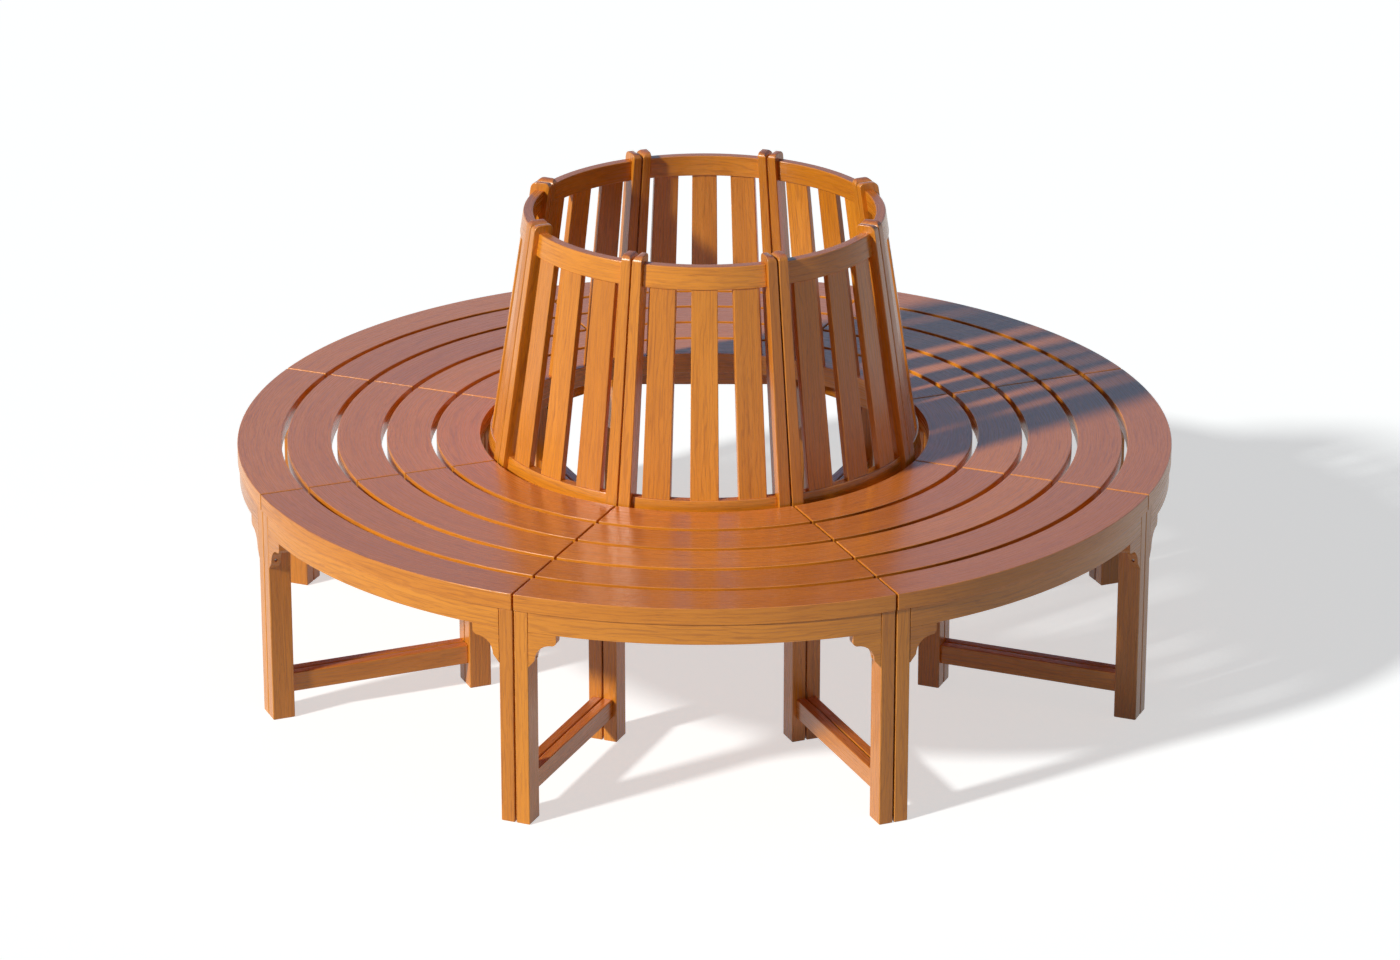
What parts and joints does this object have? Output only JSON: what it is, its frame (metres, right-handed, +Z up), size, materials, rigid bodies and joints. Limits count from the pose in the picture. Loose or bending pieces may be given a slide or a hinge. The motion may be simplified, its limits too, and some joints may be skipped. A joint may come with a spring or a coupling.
{
  "type": "tree bench",
  "caption": "Round hardwood bench for standing round a tree: ring seat of curved slats, inward-leaning slatted back, legs joined by low stretchers.",
  "frame": {"origin": "on the ground, at the centre of the ring", "axes": "+Z up, -Y towards the middle of the front bay"},
  "size_m": [1.9, 1.9, 0.966],
  "materials": {
    "seat_wood": "oiled hardwood, reddish brown",
    "frame_wood": "oiled hardwood, orange brown",
    "spacer_plastic": "black nylon"
  },
  "bodies": {
    "root": {"seat_slat_1": "seat_wood", "seat_slat_2": "seat_wood", "seat_slat_3": "seat_wood", "seat_slat_4": "seat_wood", "seat_slat_5": "seat_wood", "apron": "frame_wood", "bracket_left": "frame_wood", "bracket_right": "frame_wood", "outer_leg_left": "frame_wood", "outer_leg_right": "frame_wood", "inner_leg_left": "frame_wood", "inner_leg_right": "frame_wood", "stretcher_left": "frame_wood", "stretcher_right": "frame_wood", "side_bearer_left": "frame_wood", "side_bearer_right": "frame_wood", "inner_rail": "frame_wood", "back_post_left": "frame_wood", "back_post_right": "frame_wood", "post_block_left": "frame_wood", "post_block_right": "frame_wood", "back_top_rail": "frame_wood", "back_bottom_rail": "frame_wood", "back_slat_1": "frame_wood", "back_slat_2": "frame_wood", "back_slat_3": "frame_wood", "seam_pads": "spacer_plastic"}
  },
  "joints": []
}
